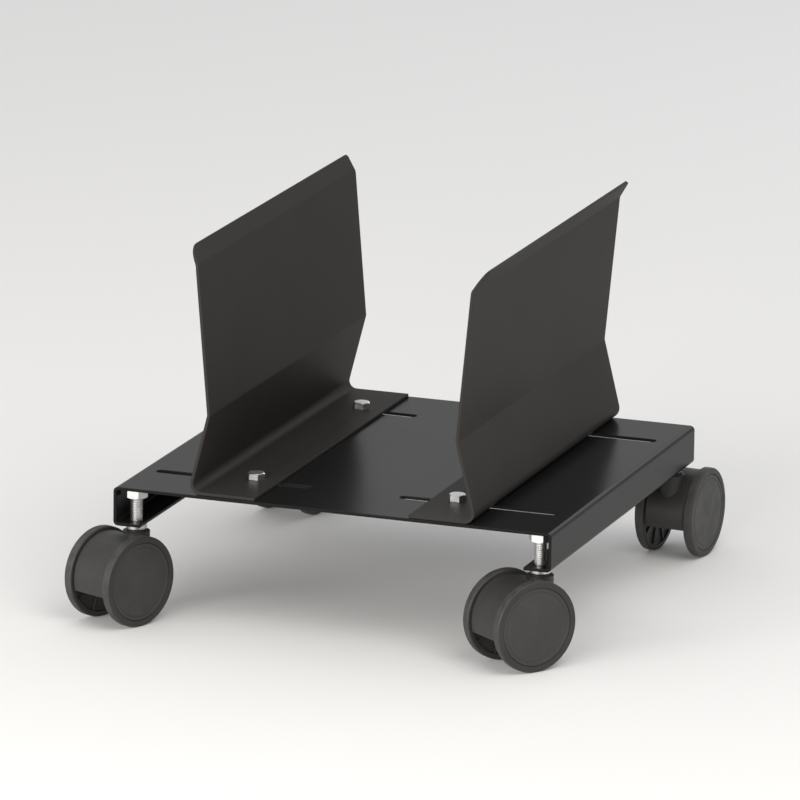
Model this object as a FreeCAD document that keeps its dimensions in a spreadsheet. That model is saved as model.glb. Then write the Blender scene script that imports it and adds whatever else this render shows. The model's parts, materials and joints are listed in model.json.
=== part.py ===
import FreeCAD, Part
import math
import os

import Sketcher

# A wheeled holder for a computer: a folded sheet tray on four swivelling twin-wheel casters,
# with two bent side brackets that slide across the tray and are clamped by bolts in slots.
# X runs to the right, Y to the rear and Z up; the origin is on the floor under the tray's centre.

DIMENSIONS = [
    # the tray, one folded sheet
    ("tray_width", 290, "outside, from flange to flange"),
    ("tray_depth", 285, "front edge to rear edge"),
    ("tray_sheet", 2, "thickness of the tray's sheet"),
    ("flange_height", 25, "tray's top face to the bottom of the side flanges"),
    ("lip_clearance", 3, "wheels' tread to the flanges above them"),
    ("lip_width", 18, "side of the tray to the free edge of the flange's return lip"),
    ("tray_bend", 3, "outside radius of the tray's bends"),
    ("slot_width", 7, "adjusting slots across the tray"),
    ("slot_start", 29, "tray's centre line to the inner end of a slot"),
    ("slot_margin", 11, "outer end of a slot to the side of the tray"),
    ("slot_setback", 46.5, "front or rear edge to the centre line of a slot"),
    # the two side brackets
    ("bracket_sheet", 2, "thickness of the brackets' sheet"),
    ("bracket_setback", 1, "tray's edge to the bracket's end, front and rear"),
    ("bracket_fold", 96, "tray's centre line to the fold between foot and panel"),
    ("foot_width", 45, "fold to the foot's free edge"),
    ("crease_height", 52, "tray's top face to the crease in the panel"),
    ("crease_lean", 13, "how far the lower panel leans in over its foot"),
    ("shoulder_height", 147, "tray's top face to the bend below the flared edge"),
    ("shoulder_lean", 8.5, "how far the upper panel leans out again"),
    ("bracket_height", 157.5, "tray's top face to the bracket's top edge"),
    ("edge_flare", 6, "how far the top edge flares out"),
    ("fold_bend", 7, "outside radius of the fold"),
    ("crease_bend", 4, "inside radius of the crease and the shoulder"),
    ("front_corner", 16, "radius of the top front corner"),
    ("rear_corner", 3, "radius of the top rear corner"),
    # the clamping bolts with their washers and nuts
    ("bolt_diameter", 6, "shank"),
    ("bolt_setback", 29, "fold to the bolts' axes"),
    ("bolt_head_across", 10, "across the flats"),
    ("bolt_head_height", 4, "height of the head"),
    ("bolt_head_chamfer", 0.5, "top edges of the head"),
    ("bolt_end", 2, "what stands out below the nut"),
    ("bolt_clearance", 0.3, "shank to the wall of its hole, radial"),
    ("washer_diameter", 12, "outside"),
    ("washer_sheet", 1.6, "thickness"),
    ("nut_across", 10, "across the flats"),
    ("nut_height", 5, "height of the nut"),
    # the caster stems and how they are held
    ("stem_side_inset", 11, "side of the tray to the stem's axis"),
    ("stem_end_inset", 12, "front or rear edge to the stem's axis"),
    ("stem_diameter", 8, "threaded length"),
    ("stem_clearance", 0.5, "stem to its hole in the lip, radial"),
    ("weld_nut_across", 13, "across the flats"),
    ("weld_nut_height", 6.5, "height of the nut"),
    ("collar_diameter", 13, "shoulder under the lip"),
    ("collar_height", 3.6, "height of the shoulder"),
    ("spindle_diameter", 8, "journal that the caster turns on"),
    ("spindle_end", 2, "what stands out below the clip"),
    ("clip_reach", 2, "how far the clip stands out from the spindle"),
    ("clip_sheet", 1, "thickness of the clip and of its groove"),
    ("clip_depth", 1, "how far the clip sits in the spindle"),
    ("clip_mouth", 4, "open side of the clip"),
    ("clip_room", 1, "clip to the wall round it, radial"),
    ("thrust_gap", 0.3, "axial play of the swivel at either end of the sleeve"),
    ("running_gap", 0.05, "journal clearance, radial"),
    # the casters
    ("caster_trail", 15, "stem's axis to the axle's axis"),
    ("sleeve_wall", 1.5, "wall of the swivel sleeve"),
    ("sleeve_flange", 1.1, "thickness of the sleeve's thrust flange"),
    ("sleeve_rim", 0.95, "how far the thrust flange stands out from the sleeve"),
    ("sleeve_length", 18.4, "below the flange"),
    ("boss_wall", 3, "plastic round the sleeve"),
    ("boss_skirt", 4.6, "how far the boss reaches below the sleeve"),
    ("hood_width", 27, "hood, between the wheels"),
    ("hood_wall", 2.5, "thickness of the hood's curved cover"),
    ("hood_drop", 2, "wheel's tread to the hood's outer face, radial"),
    ("hood_skirt", 15, "degrees that the cover reaches below the axle's level"),
    ("hood_edge", 1, "radius of the cover's edges"),
    ("web_thickness", 6, "middle web of the hood"),
    ("web_depth", 4, "how far the web reaches below the axle's level"),
    ("axle_boss_diameter", 14, "boss round the axle"),
    ("axle_boss_width", 10.4, "length of the boss along the axle"),
    ("axle_diameter", 6, "axle"),
    ("axle_chamfer", 0.6, "ends of the axle"),
    ("wheel_diameter", 58, "tread"),
    ("wheel_width", 6, "rim"),
    ("wheel_gap", 0.4, "wheel to hood, along the axle"),
    ("rim_wall", 3.5, "tread to the inside of the rim"),
    ("tread_edge", 1.2, "radius of the tread's edges"),
    ("wheel_web", 2.5, "thickness of the wheel's disc"),
    ("hub_diameter", 14, "hub on the inner side of the wheel"),
    ("cap_seat", 4.1, "tread to the recess for the cap, radial"),
    ("cap_fit", 0.15, "cap to its recess, radial"),
    ("cap_sheet", 1.6, "thickness of the wheel's cap"),
    ("cap_inset", 0.2, "cap's face to the wheel's face"),
    ("cap_chamfer", 0.6, "edge of the cap"),
    ("axle_play", 0.3, "end of the axle to the cap"),
    # how the casters stand at rest, turned about their stems
    ("front_left_yaw", -24, "degrees"),
    ("front_right_yaw", -37, "degrees"),
    ("rear_left_yaw", 172, "degrees"),
    ("rear_right_yaw", 175, "degrees"),
]

SIDES = {"left": -1, "right": 1}
ENDS = {"front": -1, "rear": 1}
TOLERANCE = 1e-4
CUT_MARGIN = 2

doc = FreeCAD.newDocument("computer_holder")
sheet = doc.addObject("Spreadsheet::Sheet", "Dims")
for row, (alias, number, meaning) in enumerate(DIMENSIONS, 1):
    sheet.set(f"A{row}", alias.replace("_", " "))
    sheet.set(f"B{row}", str(number))
    sheet.set(f"C{row}", meaning)
    sheet.setAlias(f"B{row}", alias)
doc.recompute()

# Heights and distances that several pieces share. The tray, the brackets and their fasteners are
# drawn with height 0 at the tray's top face, and the casters with height 0 at the floor.
WHEEL_RADIUS = "(Dims.wheel_diameter / 2)"
COLLAR_TOP = "(Dims.wheel_diameter + Dims.lip_clearance)"
TRAY_HEIGHT = f"({COLLAR_TOP} + Dims.flange_height)"
STEM_X = "(Dims.tray_width / 2 - Dims.stem_side_inset)"
STEM_Y = "(Dims.tray_depth / 2 - Dims.stem_end_inset)"
SLOT_Y = "(Dims.tray_depth / 2 - Dims.slot_setback)"
BOLT_X = "(Dims.bracket_fold - Dims.bolt_setback)"
COLLAR_BOTTOM = f"({COLLAR_TOP} - Dims.collar_height)"
SLEEVE_TOP = f"({COLLAR_BOTTOM} - Dims.thrust_gap)"
BOSS_TOP = f"({SLEEVE_TOP} - Dims.sleeve_flange)"
SLEEVE_BOTTOM = f"({BOSS_TOP} - Dims.sleeve_length)"
BOSS_BOTTOM = f"({SLEEVE_BOTTOM} - Dims.boss_skirt)"
CLIP_TOP = f"({SLEEVE_BOTTOM} - Dims.thrust_gap)"
CLIP_BOTTOM = f"({CLIP_TOP} - Dims.clip_sheet)"
SPINDLE_RADIUS = "(Dims.spindle_diameter / 2)"
GROOVE_RADIUS = f"({SPINDLE_RADIUS} - Dims.clip_depth)"
SLEEVE_BORE = f"({SPINDLE_RADIUS} + Dims.running_gap)"
SLEEVE_RADIUS = f"({SLEEVE_BORE} + Dims.sleeve_wall)"
BOSS_RADIUS = f"({SLEEVE_RADIUS} + Dims.boss_wall)"
FLANGE_RADIUS = f"({SLEEVE_RADIUS} + Dims.sleeve_rim)"
CLIP_RADIUS = f"({SPINDLE_RADIUS} + Dims.clip_reach)"
CAVITY_RADIUS = f"({CLIP_RADIUS} + Dims.clip_room)"
HOOD_RADIUS = f"({WHEEL_RADIUS} - Dims.hood_drop)"
RIM_INNER_FACE = "(Dims.hood_width / 2 + Dims.wheel_gap)"
RIM_OUTER_FACE = f"({RIM_INNER_FACE} + Dims.wheel_width)"
CAP_FACE = f"({RIM_OUTER_FACE} - Dims.cap_inset)"
CAP_BACK = f"({CAP_FACE} - Dims.cap_sheet)"
CAP_RADIUS = f"({WHEEL_RADIUS} - Dims.cap_seat - Dims.cap_fit)"


def value(expression):
    """Number that an expression over the sheet gives, in millimetres or degrees."""
    return float(sheet.evalExpression(expression))


def new_body(label):
    """Empty body of one sub-part."""
    body = doc.addObject("PartDesign::Body", label)
    body.Label = label
    return body


def origin_feature(body, role):
    """Plane or axis of a body's own origin."""
    return next(item for item in body.Origin.OriginFeatures if item.Role == role)


def new_sketch(body, plane, height="0"):
    """Empty sketch on one of the body's origin planes, lifted off it by a height."""
    sketch = body.newObject("Sketcher::SketchObject", body.Label + "_sketch")
    sketch.AttachmentSupport = (origin_feature(body, plane), [""])
    sketch.MapMode = "FlatFace"
    if height != "0":
        sketch.setExpression(".AttachmentOffset.Base.z", height)
    return sketch


def fix_point(sketch, element, point, x, y):
    """Hold a point of a sketch element at the distances that two expressions give."""
    for kind, expression in (("DistanceX", x), ("DistanceY", y)):
        distance = Sketcher.Constraint(kind, -1, 1, element, point, value(expression))
        index = sketch.addConstraint(distance)
        sketch.setExpression(f"Constraints[{index}]", expression)


def set_radius(sketch, element, radius):
    """Bind the radius of a circle or an arc."""
    index = sketch.addConstraint(Sketcher.Constraint("Radius", element, value(radius)))
    sketch.setExpression(f"Constraints[{index}]", radius)


def circle(sketch, x, y, radius):
    """Circle whose centre and radius are expressions."""
    centre = FreeCAD.Vector(value(x), value(y), 0)
    element = sketch.addGeometry(Part.Circle(centre, FreeCAD.Vector(0, 0, 1), value(radius)))
    fix_point(sketch, element, 3, x, y)
    set_radius(sketch, element, radius)


def arc_geometry(start, end, centre):
    """Arc that runs anticlockwise from one point to another round a centre."""
    first = math.atan2(start.y - centre.y, start.x - centre.x)
    last = math.atan2(end.y - centre.y, end.x - centre.x)
    whole = Part.Circle(centre, FreeCAD.Vector(0, 0, 1), (start - centre).Length)
    return Part.ArcOfCircle(whole, first, last)


def outline(sketch, corners, arcs=None):
    """Closed outline through corners, each a pair of expressions.

    arcs maps the number of an edge to its centre x, centre y, radius and whether it runs
    anticlockwise; every other edge is straight. Returns the number of the first edge.
    """
    arcs = arcs or {}
    points = [FreeCAD.Vector(value(x), value(y), 0) for x, y in corners]
    first_edge = sketch.GeometryCount
    joints = []
    for number, start in enumerate(points):
        end = points[(number + 1) % len(points)]
        if number in arcs:
            centre_x, centre_y, radius, anticlockwise = arcs[number]
            centre = FreeCAD.Vector(value(centre_x), value(centre_y), 0)
            ends = (start, end) if anticlockwise else (end, start)
            element = sketch.addGeometry(arc_geometry(*ends, centre))
            joints.append((1, 2) if anticlockwise else (2, 1))
            set_radius(sketch, element, radius)
        else:
            sketch.addGeometry(Part.LineSegment(start, end))
            joints.append((1, 2))
    for number, (x, y) in enumerate(corners):
        following = (number + 1) % len(corners)
        meeting = (first_edge + number, joints[number][1], first_edge + following, joints[following][0])
        sketch.addConstraint(Sketcher.Constraint("Coincident", *meeting))
        fix_point(sketch, first_edge + number, joints[number][0], x, y)
    return first_edge


def slot(sketch, start_x, end_x, y, radius):
    """Slot along X between the centres of its two round ends."""
    across = FreeCAD.Vector(0, value(radius), 0)
    start = FreeCAD.Vector(value(start_x), value(y), 0)
    end = FreeCAD.Vector(value(end_x), value(y), 0)
    left = sketch.addGeometry(arc_geometry(start + across, start - across, start))
    right = sketch.addGeometry(arc_geometry(end - across, end + across, end))
    lower = sketch.addGeometry(Part.LineSegment(start - across, end - across))
    upper = sketch.addGeometry(Part.LineSegment(end + across, start + across))
    for meeting in ((left, 2, lower, 1), (lower, 2, right, 1), (right, 2, upper, 1), (upper, 2, left, 1)):
        sketch.addConstraint(Sketcher.Constraint("Tangent", *meeting))
    sketch.addConstraint(Sketcher.Constraint("Equal", left, right))
    fix_point(sketch, left, 3, start_x, y)
    fix_point(sketch, right, 3, end_x, y)
    set_radius(sketch, left, radius)


def hexagon(sketch, x, y, across):
    """Regular hexagon round a centre, by its width across the flats."""
    corners = []
    for turn in range(0, 360, 60):
        reach = f"{across} / sqrt(3)"
        corners.append((f"{x} + {reach} * cos({turn})", f"{y} + {reach} * sin({turn})"))
    outline(sketch, corners)


def pad(body, sketch, length, symmetric=False, down=False):
    """Pad of a sketch, along its normal unless it goes both ways or down."""
    feature = body.newObject("PartDesign::Pad", body.Label + "_pad")
    feature.Profile = sketch
    feature.SideType = "Symmetric" if symmetric else "One side"
    feature.Reversed = down
    feature.setExpression("Length", length)
    doc.recompute()
    return feature


def pocket(body, sketch, depth=None, up=False):
    """Pocket against the sketch's normal, or right through the body when it has no depth."""
    before = body.Tip.Shape.Volume
    feature = body.newObject("PartDesign::Pocket", body.Label + "_pocket")
    feature.Profile = sketch
    feature.Reversed = up
    if depth is None:
        feature.Type = "ThroughAll"
        feature.SideType = "Symmetric"
    else:
        feature.setExpression("Length", depth)
    doc.recompute()
    if feature.Shape.Volume >= before - TOLERANCE:
        raise ValueError(f"{feature.Label} cuts nothing")
    return feature


def revolution(body, corners, axis):
    """Turned body from a half section drawn on the XZ plane."""
    sketch = new_sketch(body, "XZ_Plane")
    outline(sketch, corners)
    feature = body.newObject("PartDesign::Revolution", body.Label + "_revolution")
    feature.Profile = sketch
    feature.ReferenceAxis = (sketch, [axis])
    feature.Angle = 360
    doc.recompute()
    return feature


def edge_names(shape, test):
    """Names of a shape's edges that pass a test."""
    return [f"Edge{number}" for number, edge in enumerate(shape.Edges, 1) if test(edge)]


def dress(body, kind, test, size):
    """Fillet or chamfer on the edges of the body's tip that pass a test."""
    base = body.Tip
    feature = body.newObject("PartDesign::" + kind, body.Label + "_" + kind.lower())
    feature.Base = (base, edge_names(base.Shape, test))
    feature.setExpression("Radius" if kind == "Fillet" else "Size", size)
    doc.recompute()
    return feature


def runs_along_y(x, z):
    """Test for an edge that runs along Y through a point of the section."""
    def test(edge):
        return all(abs(v.X - x) < TOLERANCE and abs(v.Z - z) < TOLERANCE for v in edge.Vertexes)
    return test


def bend(body, corner, radius):
    """Round a sheet's bend along Y at a corner of its section."""
    dress(body, "Fillet", runs_along_y(value(corner[0]), value(corner[1])), radius)


def is_round(radius):
    """Test for a circular edge of one radius."""
    def test(edge):
        return hasattr(edge.Curve, "Radius") and abs(edge.Curve.Radius - radius) < TOLERANCE
    return test


def lift_to_tray(body):
    """Place a body that is drawn from the tray's top face."""
    body.setExpression(".Placement.Base.z", TRAY_HEIGHT)


def mirrored(corners):
    """The same corners on the other side of the section's middle, in reverse order."""
    return [(f"-{x}", y) for x, y in reversed(corners)]


def make_tray():
    """Tray: a plate with side flanges that turn in again at the bottom, slotted for the brackets."""
    body = new_body("base_tray")
    side = "(Dims.tray_width / 2)"
    flange = "(Dims.tray_width / 2 - Dims.tray_sheet)"
    lip = "(Dims.tray_width / 2 - Dims.lip_width)"
    bottom = "-Dims.flange_height"
    lip_top = "(Dims.tray_sheet - Dims.flange_height)"
    plate = "-Dims.tray_sheet"
    outer_bends = [(side, "0"), (side, bottom)]
    inner_bends = [(flange, lip_top), (flange, plate)]
    right = outer_bends + [(lip, bottom), (lip, lip_top)] + inner_bends
    section = new_sketch(body, "XZ_Plane")
    outline(section, right + mirrored(right))
    pad(body, section, "Dims.tray_depth", symmetric=True)
    for corner in outer_bends + mirrored(outer_bends):
        bend(body, corner, "Dims.tray_bend")
    for corner in inner_bends + mirrored(inner_bends):
        bend(body, corner, "Dims.tray_bend - Dims.tray_sheet")
    slots = new_sketch(body, "XY_Plane")
    inner = "(Dims.slot_start + Dims.slot_width / 2)"
    outer = "(Dims.tray_width / 2 - Dims.slot_margin - Dims.slot_width / 2)"
    for end in ENDS.values():
        slot(slots, f"-{outer}", f"-{inner}", f"{end} * {SLOT_Y}", "Dims.slot_width / 2")
        slot(slots, inner, outer, f"{end} * {SLOT_Y}", "Dims.slot_width / 2")
    pocket(body, slots, "Dims.tray_sheet")
    stem_holes = new_sketch(body, "XY_Plane", lip_top)
    for side_sign in SIDES.values():
        for end in ENDS.values():
            radius = "Dims.stem_diameter / 2 + Dims.stem_clearance"
            circle(stem_holes, f"{side_sign} * {STEM_X}", f"{end} * {STEM_Y}", radius)
    pocket(body, stem_holes, "Dims.tray_sheet")
    lift_to_tray(body)
    return body


def make_weld_nuts():
    """Nuts under the tray's plate that the caster stems screw into."""
    body = new_body("caster_weld_nuts")
    section = new_sketch(body, "XY_Plane", "-Dims.tray_sheet")
    for side in SIDES.values():
        for end in ENDS.values():
            centre = (f"{side} * {STEM_X}", f"{end} * {STEM_Y}")
            hexagon(section, *centre, "Dims.weld_nut_across")
            circle(section, *centre, "Dims.stem_diameter / 2")
    pad(body, section, "Dims.weld_nut_height", down=True)
    lift_to_tray(body)
    return body


def offset_corners(corners, distance):
    """The sheet's other face: corners of a parallel line, to the left of the way it runs."""
    points = [FreeCAD.Vector(value(x), value(y), 0) for x, y in corners]
    runs = [(after - before).normalize() for before, after in zip(points, points[1:])]
    sides = [FreeCAD.Vector(-run.y, run.x, 0) for run in runs]
    shifted = [points[0] + sides[0] * distance]
    for point, before, after in zip(points[1:], sides, sides[1:]):
        shifted.append(point + (before + after) * (distance / (1 + before.dot(after))))
    shifted.append(points[-1] + sides[-1] * distance)
    return shifted


def bent_sheet(sketch, corners, inward):
    """Section of a bent sheet: its outer face by corners, its inner face one sheet away."""
    turn = 1 if inward else -1
    inner = offset_corners(corners, turn * value("Dims.bracket_sheet"))
    outer = [FreeCAD.Vector(value(x), value(y), 0) for x, y in corners]
    ring = outer + inner[::-1]
    count = len(ring)
    for number, start in enumerate(ring):
        sketch.addGeometry(Part.LineSegment(start, ring[(number + 1) % count]))
    for number in range(count):
        sketch.addConstraint(Sketcher.Constraint("Coincident", number, 2, (number + 1) % count, 1))
    runs = len(outer) - 1
    for number, (x, y) in enumerate(corners[:-1]):
        fix_point(sketch, number, 1, x, y)
    fix_point(sketch, runs - 1, 2, *corners[-1])
    for number in range(runs):
        other = count - 2 - number
        sketch.addConstraint(Sketcher.Constraint("Parallel", number, other))
        gap = Sketcher.Constraint("Distance", number, 1, other, value("Dims.bracket_sheet"))
        index = sketch.addConstraint(gap)
        sketch.setExpression(f"Constraints[{index}]", "Dims.bracket_sheet")
    sketch.addConstraint(Sketcher.Constraint("Perpendicular", 0, count - 1))
    sketch.addConstraint(Sketcher.Constraint("Perpendicular", runs - 1, runs))
    return inner


def round_top_corner(body, end, radius):
    """Round the top corner of a bracket at its front or rear end."""
    edge = f"{end} * (Dims.tray_depth / 2 - Dims.bracket_setback)"
    top = "Dims.bracket_height"
    beyond = f"({edge} + {end * CUT_MARGIN})"
    above = f"({top} + {CUT_MARGIN})"
    middle = f"({edge} - {end} * {radius})"
    level = f"({top} - {radius})"
    corners = [(middle, top), (edge, level), (beyond, level), (beyond, above), (middle, above)]
    cut = new_sketch(body, "YZ_Plane")
    outline(cut, corners, {0: (middle, level, radius, end < 0)})
    pocket(body, cut)


def make_bracket(name, side):
    """Side bracket: a foot on the tray and a creased panel with a flared top edge."""
    body = new_body(f"{name}_bracket")
    fold = "Dims.bracket_fold"
    crease = f"({fold} - Dims.crease_lean)"
    shoulder = f"({crease} + Dims.shoulder_lean)"
    corners = [
        (f"{side} * ({fold} - Dims.foot_width)", "0"),
        (f"{side} * {fold}", "0"),
        (f"{side} * {crease}", "Dims.crease_height"),
        (f"{side} * {shoulder}", "Dims.shoulder_height"),
        (f"{side} * ({shoulder} + Dims.edge_flare)", "Dims.bracket_height"),
    ]
    section = new_sketch(body, "XZ_Plane")
    inner = bent_sheet(section, corners, side > 0)
    pad(body, section, "Dims.tray_depth - 2 * Dims.bracket_setback", symmetric=True)
    radii = {1: "Dims.fold_bend", 2: "Dims.crease_bend", 3: "Dims.crease_bend"}
    for number, radius in radii.items():
        change = "-" if number == 1 else "+"
        bend(body, corners[number], radius)
        inner_corner = (str(inner[number].x), str(inner[number].y))
        bend(body, inner_corner, f"{radius} {change} Dims.bracket_sheet")
    holes = new_sketch(body, "XY_Plane", "Dims.bracket_sheet")
    for end in ENDS.values():
        radius = "Dims.bolt_diameter / 2 + Dims.bolt_clearance"
        circle(holes, f"{side} * {BOLT_X}", f"{end} * {SLOT_Y}", radius)
    pocket(body, holes, "Dims.bracket_sheet")
    round_top_corner(body, ENDS["front"], "Dims.front_corner")
    round_top_corner(body, ENDS["rear"], "Dims.rear_corner")
    lift_to_tray(body)
    return body


def make_bolts(name, side):
    """Hexagon bolts through a bracket's foot, one at the front and one at the rear."""
    body = new_body(f"{name}_bracket_bolts")
    heads = new_sketch(body, "XY_Plane", "Dims.bracket_sheet")
    shanks = new_sketch(body, "XY_Plane", "Dims.bracket_sheet")
    for end in ENDS.values():
        centre = (f"{side} * {BOLT_X}", f"{end} * {SLOT_Y}")
        hexagon(heads, *centre, "Dims.bolt_head_across")
        circle(shanks, *centre, "Dims.bolt_diameter / 2")
    grip = "Dims.bracket_sheet + Dims.tray_sheet + Dims.washer_sheet + Dims.nut_height"
    pad(body, heads, "Dims.bolt_head_height")
    pad(body, shanks, f"{grip} + Dims.bolt_end", down=True)
    head_top = value("Dims.bracket_sheet + Dims.bolt_head_height")
    dress(body, "Chamfer", lambda edge: edge.BoundBox.ZMin > head_top - TOLERANCE, "Dims.bolt_head_chamfer")
    lift_to_tray(body)
    return body


def make_washers(name, side):
    """Washers under the tray, below a bracket's bolts."""
    body = new_body(f"{name}_bracket_washers")
    rings = new_sketch(body, "XY_Plane", "-Dims.tray_sheet")
    for end in ENDS.values():
        centre = (f"{side} * {BOLT_X}", f"{end} * {SLOT_Y}")
        circle(rings, *centre, "Dims.washer_diameter / 2")
        circle(rings, *centre, "Dims.bolt_diameter / 2 + Dims.bolt_clearance")
    pad(body, rings, "Dims.washer_sheet", down=True)
    lift_to_tray(body)
    return body


def make_nuts(name, side):
    """Nuts on a bracket's bolts."""
    body = new_body(f"{name}_bracket_nuts")
    rings = new_sketch(body, "XY_Plane", "-(Dims.tray_sheet + Dims.washer_sheet)")
    for end in ENDS.values():
        centre = (f"{side} * {BOLT_X}", f"{end} * {SLOT_Y}")
        hexagon(rings, *centre, "Dims.nut_across")
        circle(rings, *centre, "Dims.bolt_diameter / 2")
    pad(body, rings, "Dims.nut_height", down=True)
    lift_to_tray(body)
    return body


def place_caster(body, name, side, end, turned=0, on_axle=False):
    """Place a caster's piece at its stem, or at its axle, turned as the caster stands."""
    yaw = f"Dims.{name}_yaw"
    trail = "Dims.caster_trail" if on_axle else "0"
    body.Placement.Rotation = FreeCAD.Rotation(FreeCAD.Vector(0, 0, 1), value(yaw) + turned)
    body.setExpression(".Placement.Base.x", f"{side} * {STEM_X} + {trail} * sin({yaw})")
    body.setExpression(".Placement.Base.y", f"{end} * {STEM_Y} - {trail} * cos({yaw})")
    if on_axle:
        body.setExpression(".Placement.Base.z", WHEEL_RADIUS)


def make_stem(name):
    """Threaded stem with a shoulder under the lip and a grooved spindle below it."""
    body = new_body(f"{name}_stem")
    thread = "(Dims.stem_diameter / 2)"
    top = f"({TRAY_HEIGHT} - Dims.tray_sheet)"
    bottom = f"({CLIP_BOTTOM} - Dims.spindle_end)"
    shoulder = "(Dims.collar_diameter / 2)"
    revolution(body, [
        ("0", top),
        (thread, top),
        (thread, COLLAR_TOP),
        (shoulder, COLLAR_TOP),
        (shoulder, COLLAR_BOTTOM),
        (SPINDLE_RADIUS, COLLAR_BOTTOM),
        (SPINDLE_RADIUS, CLIP_TOP),
        (GROOVE_RADIUS, CLIP_TOP),
        (GROOVE_RADIUS, CLIP_BOTTOM),
        (SPINDLE_RADIUS, CLIP_BOTTOM),
        (SPINDLE_RADIUS, bottom),
        ("0", bottom),
    ], "V_Axis")
    return body


def make_clip(name):
    """Spring clip in the spindle's groove, which keeps the hood on the stem."""
    body = new_body(f"{name}_retaining_clip")
    ring = new_sketch(body, "XY_Plane", CLIP_BOTTOM)
    circle(ring, "0", "0", CLIP_RADIUS)
    circle(ring, "0", "0", GROOVE_RADIUS)
    pad(body, ring, "Dims.clip_sheet")
    mouth = new_sketch(body, "XY_Plane", CLIP_TOP)
    half = "Dims.clip_mouth / 2"
    beyond = f"({CLIP_RADIUS} + {CUT_MARGIN})"
    corners = [(f"-{half}", "0"), (half, "0"), (half, beyond), (f"-{half}", beyond)]
    outline(mouth, corners)
    pocket(body, mouth, "Dims.clip_sheet")
    return body


def make_sleeve(name):
    """Flanged sleeve in the hood that turns on the spindle."""
    body = new_body(f"{name}_swivel_sleeve")
    revolution(body, [
        (SLEEVE_BORE, SLEEVE_TOP),
        (FLANGE_RADIUS, SLEEVE_TOP),
        (FLANGE_RADIUS, BOSS_TOP),
        (SLEEVE_RADIUS, BOSS_TOP),
        (SLEEVE_RADIUS, SLEEVE_BOTTOM),
        (SLEEVE_BORE, SLEEVE_BOTTOM),
    ], "V_Axis")
    return body


def round_the_axle(radius, angle):
    """Point at a radius and an angle round the axle, on the plane across it."""
    across = f"(-Dims.caster_trail + {radius} * cos({angle}))"
    return across, f"({WHEEL_RADIUS} + {radius} * sin({angle}))"


def make_hood(name):
    """Hood: a curved cover between the wheels on a middle web with the stem's and axle's bosses."""
    body = new_body(f"{name}_hood")
    centre = ("-Dims.caster_trail", WHEEL_RADIUS)
    inside = f"({HOOD_RADIUS} - Dims.hood_wall)"
    near = "(-Dims.hood_skirt)"
    far = "(180 + Dims.hood_skirt)"
    corners = [
        round_the_axle(HOOD_RADIUS, near),
        round_the_axle(HOOD_RADIUS, far),
        round_the_axle(inside, far),
        round_the_axle(inside, near),
    ]
    cover = new_sketch(body, "YZ_Plane")
    outline(cover, corners, {0: (*centre, HOOD_RADIUS, True), 2: (*centre, inside, False)})
    pad(body, cover, "Dims.hood_width", symmetric=True)
    reach = f"({inside} + Dims.hood_wall / 2)"
    half_chord = f"sqrt({reach} ^ 2 - Dims.web_depth ^ 2)"
    level = f"({WHEEL_RADIUS} - Dims.web_depth)"
    chord_ends = [f"({half_chord} - Dims.caster_trail)", f"(-{half_chord} - Dims.caster_trail)"]
    web = new_sketch(body, "YZ_Plane")
    outline(web, [(across, level) for across in chord_ends], {0: (*centre, reach, True)})
    pad(body, web, "Dims.web_thickness", symmetric=True)
    axle_boss = new_sketch(body, "YZ_Plane")
    circle(axle_boss, *centre, "Dims.axle_boss_diameter / 2")
    pad(body, axle_boss, "Dims.axle_boss_width", symmetric=True)
    stem_boss = new_sketch(body, "XY_Plane", BOSS_BOTTOM)
    circle(stem_boss, "0", "0", BOSS_RADIUS)
    pad(body, stem_boss, f"{BOSS_TOP} - {BOSS_BOTTOM}")
    bore = new_sketch(body, "XY_Plane", BOSS_TOP)
    circle(bore, "0", "0", SLEEVE_RADIUS)
    pocket(body, bore, BOSS_TOP)
    cavity = new_sketch(body, "XY_Plane")
    circle(cavity, "0", "0", CAVITY_RADIUS)
    pocket(body, cavity, SLEEVE_BOTTOM, up=True)
    axle_hole = new_sketch(body, "YZ_Plane")
    circle(axle_hole, *centre, "Dims.axle_diameter / 2")
    pocket(body, axle_hole)
    dress(body, "Fillet", is_round(value(HOOD_RADIUS)), "Dims.hood_edge")
    return body


def make_axle(name):
    """Plain axle with chamfered ends, held in the hood."""
    body = new_body(f"{name}_axle")
    section = new_sketch(body, "YZ_Plane")
    circle(section, "0", "0", "Dims.axle_diameter / 2")
    pad(body, section, f"2 * ({CAP_BACK} - Dims.axle_play)", symmetric=True)
    dress(body, "Chamfer", is_round(value("Dims.axle_diameter / 2")), "Dims.axle_chamfer")
    return body


def make_wheel(name, letter):
    """Wheel: a rim on a disc, a hub towards the hood and a recess for the cap outside."""
    body = new_body(f"{name}_wheel_{letter}")
    hub_face = "(Dims.axle_boss_width / 2 + Dims.wheel_gap)"
    bore = "(Dims.axle_diameter / 2 + Dims.running_gap)"
    disc = f"({CAP_BACK} - Dims.wheel_web)"
    rim = f"({WHEEL_RADIUS} - Dims.rim_wall)"
    seat = f"({WHEEL_RADIUS} - Dims.cap_seat)"
    revolution(body, [
        (hub_face, bore),
        (hub_face, "Dims.hub_diameter / 2"),
        (disc, "Dims.hub_diameter / 2"),
        (disc, rim),
        (RIM_INNER_FACE, rim),
        (RIM_INNER_FACE, WHEEL_RADIUS),
        (RIM_OUTER_FACE, WHEEL_RADIUS),
        (RIM_OUTER_FACE, seat),
        (CAP_BACK, seat),
        (CAP_BACK, bore),
    ], "H_Axis")
    dress(body, "Fillet", is_round(value(WHEEL_RADIUS)), "Dims.tread_edge")
    return body


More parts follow.
